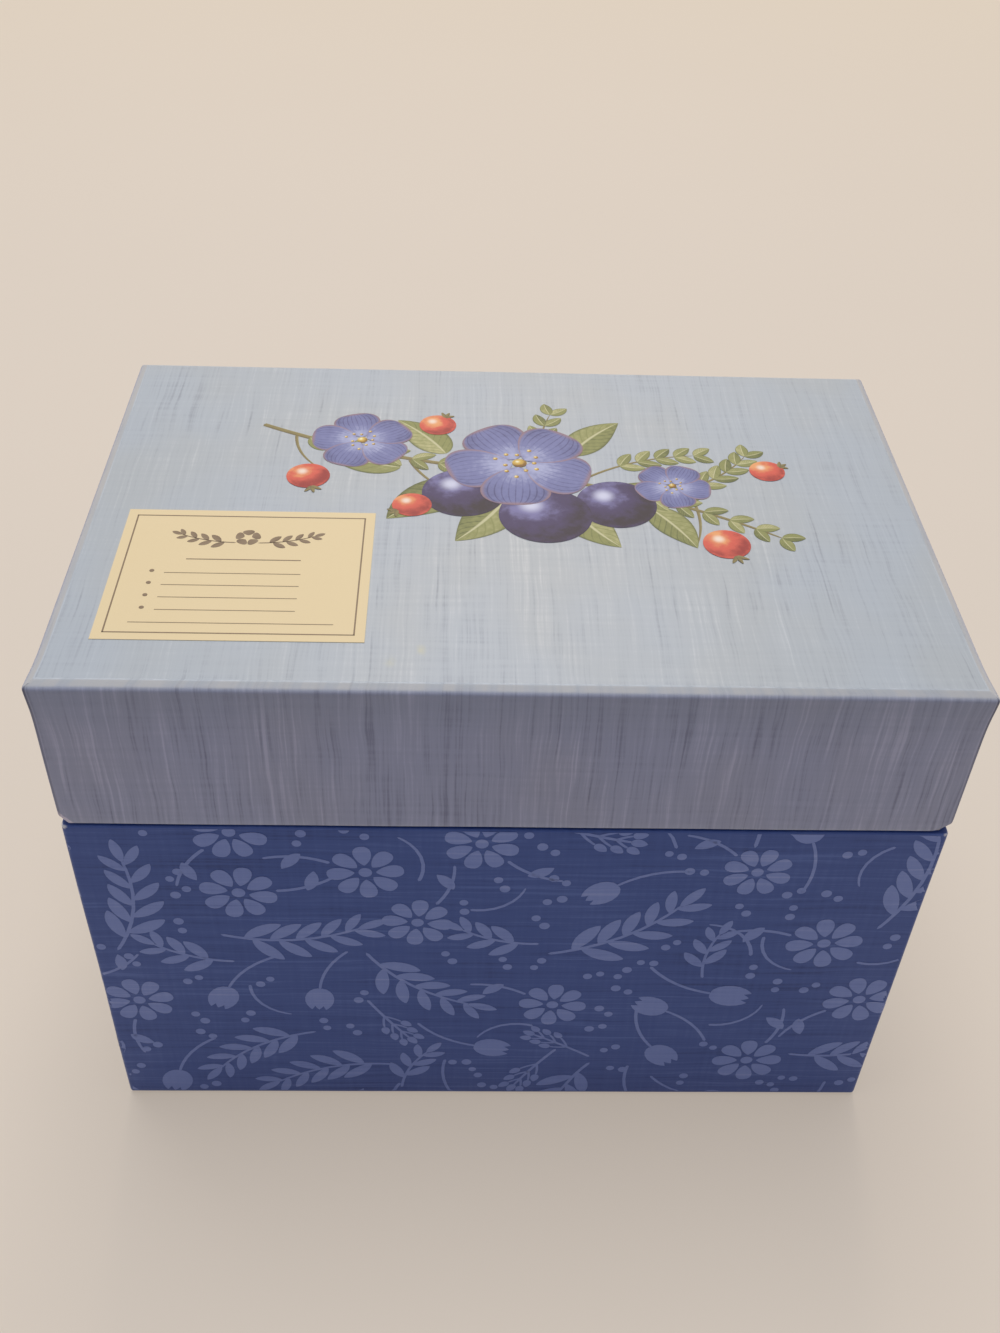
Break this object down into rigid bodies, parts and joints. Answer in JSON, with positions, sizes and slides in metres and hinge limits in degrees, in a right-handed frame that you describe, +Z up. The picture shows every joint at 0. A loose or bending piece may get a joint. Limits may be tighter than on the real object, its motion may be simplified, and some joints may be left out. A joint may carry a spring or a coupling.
{
  "type": "recipe box",
  "caption": "Paper-covered recipe box with a flush hinged lid over a neck, a file of cards with tabbed dividers and a capped pen.",
  "frame": {"origin": "under the middle of the box's footprint, on the surface it stands on", "axes": "+X along the box's width, +Y to the hinged back, +Z up; the front faces -Y"},
  "size_m": [0.178, 0.1188, 0.1341],
  "materials": {
    "navy_paper": "satin printed paper",
    "pale_paper": "satin printed paper",
    "lining_paper": "matte",
    "stay_tape": "matte",
    "label_paper": "satin",
    "hinge_paper": "satin",
    "grey_board": "matte",
    "neck_board": "matte",
    "card_stock": "matte",
    "divider_blue": "matte",
    "divider_cream": "matte",
    "divider_rose": "matte",
    "pen_plastic": "gloss",
    "pen_cap_plastic": "gloss",
    "pen_metal": "satin",
    "refill_plastic": "satin"
  },
  "bodies": {
    "base": {"base_board": "grey_board", "base_corner_stays": "stay_tape", "base_wrap": "navy_paper", "base_lining": "lining_paper", "base_bottom_sheet": "lining_paper", "neck_front": "neck_board", "neck_left": "neck_board", "neck_right": "neck_board", "hinge_strip_base": "hinge_paper"},
    "lid": {"lid_board": "grey_board", "lid_corner_stays": "stay_tape", "lid_wrap": "pale_paper", "lid_lining": "lining_paper", "lid_label": "label_paper", "hinge_strip_lid": "hinge_paper"},
    "pen": {"pen_barrel": "pen_plastic", "pen_tip": "pen_metal", "pen_refill": "refill_plastic", "pen_end_plug": "pen_cap_plastic"},
    "pen_cap": {"pen_cap": "pen_cap_plastic"},
    "reference": {"reference_cards": "card_stock"},
    "file_1": {"divider_1": "divider_blue", "recipe_cards_1": "card_stock"},
    "file_2": {"divider_2": "divider_cream", "recipe_cards_2": "card_stock"},
    "file_3": {"divider_3": "divider_rose", "recipe_cards_3": "card_stock"},
    "file_4": {"divider_4": "divider_blue", "recipe_cards_4": "card_stock"},
    "file_5": {"divider_5": "divider_cream", "recipe_cards_5": "card_stock"},
    "file_6": {"divider_6": "divider_rose", "recipe_cards_6": "card_stock"},
    "file_7": {"divider_7": "divider_blue", "recipe_cards_7": "card_stock"},
    "file_8": {"divider_8": "divider_cream", "recipe_cards_8": "card_stock"},
    "file_9": {"divider_9": "divider_rose", "recipe_cards_9": "card_stock"}
  },
  "joints": [
    {"name": "lid_hinge", "type": "hinge", "parent": "base", "child": "lid", "pos_m": [0, 0.0596, 0.0967], "axis": [-1, 0, 0], "range_deg": [0, 180]},
    {"name": "pen_lift", "type": "slide", "parent": "base", "child": "pen", "axis": [0, 0, 1], "range_m": [0, 0.1]},
    {"name": "pen_cap_pull", "type": "slide", "parent": "pen", "child": "pen_cap", "axis": [1, 0, 0], "range_m": [0, 0.0345]},
    {"name": "file_1_tilt", "type": "hinge", "parent": "base", "child": "file_1", "pos_m": [0, 0.00128, 0.00341], "axis": [1, 0, 0], "range_deg": [0, 30]},
    {"name": "file_2_tilt", "type": "hinge", "parent": "base", "child": "file_2", "pos_m": [0, 0.00528, 0.00341], "axis": [1, 0, 0], "range_deg": [0, 27]},
    {"name": "file_3_tilt", "type": "hinge", "parent": "base", "child": "file_3", "pos_m": [0, 0.00928, 0.00341], "axis": [1, 0, 0], "range_deg": [0, 24]},
    {"name": "file_4_tilt", "type": "hinge", "parent": "base", "child": "file_4", "pos_m": [0, 0.01328, 0.00341], "axis": [1, 0, 0], "range_deg": [0, 21]},
    {"name": "file_5_tilt", "type": "hinge", "parent": "base", "child": "file_5", "pos_m": [0, 0.01728, 0.00341], "axis": [1, 0, 0], "range_deg": [0, 18]},
    {"name": "file_6_tilt", "type": "hinge", "parent": "base", "child": "file_6", "pos_m": [0, 0.02128, 0.00341], "axis": [1, 0, 0], "range_deg": [0, 15]},
    {"name": "file_7_tilt", "type": "hinge", "parent": "base", "child": "file_7", "pos_m": [0, 0.02528, 0.00341], "axis": [1, 0, 0], "range_deg": [0, 12]},
    {"name": "file_8_tilt", "type": "hinge", "parent": "base", "child": "file_8", "pos_m": [0, 0.02928, 0.00341], "axis": [1, 0, 0], "range_deg": [0, 9]},
    {"name": "file_9_tilt", "type": "hinge", "parent": "base", "child": "file_9", "pos_m": [0, 0.03328, 0.00341], "axis": [1, 0, 0], "range_deg": [0, 6]},
    {"name": "reference_tilt", "type": "hinge", "parent": "base", "child": "reference", "pos_m": [0, 0.03728, 0.00341], "axis": [1, 0, 0], "range_deg": [0, 3]}
  ],
  "couplings": [
    {"joint": "file_2_tilt", "follows": "file_1_tilt", "ratio": 0.9},
    {"joint": "file_3_tilt", "follows": "file_1_tilt", "ratio": 0.8},
    {"joint": "file_4_tilt", "follows": "file_1_tilt", "ratio": 0.7},
    {"joint": "file_5_tilt", "follows": "file_1_tilt", "ratio": 0.6},
    {"joint": "file_6_tilt", "follows": "file_1_tilt", "ratio": 0.5},
    {"joint": "file_7_tilt", "follows": "file_1_tilt", "ratio": 0.4},
    {"joint": "file_8_tilt", "follows": "file_1_tilt", "ratio": 0.3},
    {"joint": "file_9_tilt", "follows": "file_1_tilt", "ratio": 0.2},
    {"joint": "reference_tilt", "follows": "file_1_tilt", "ratio": 0.1}
  ]
}
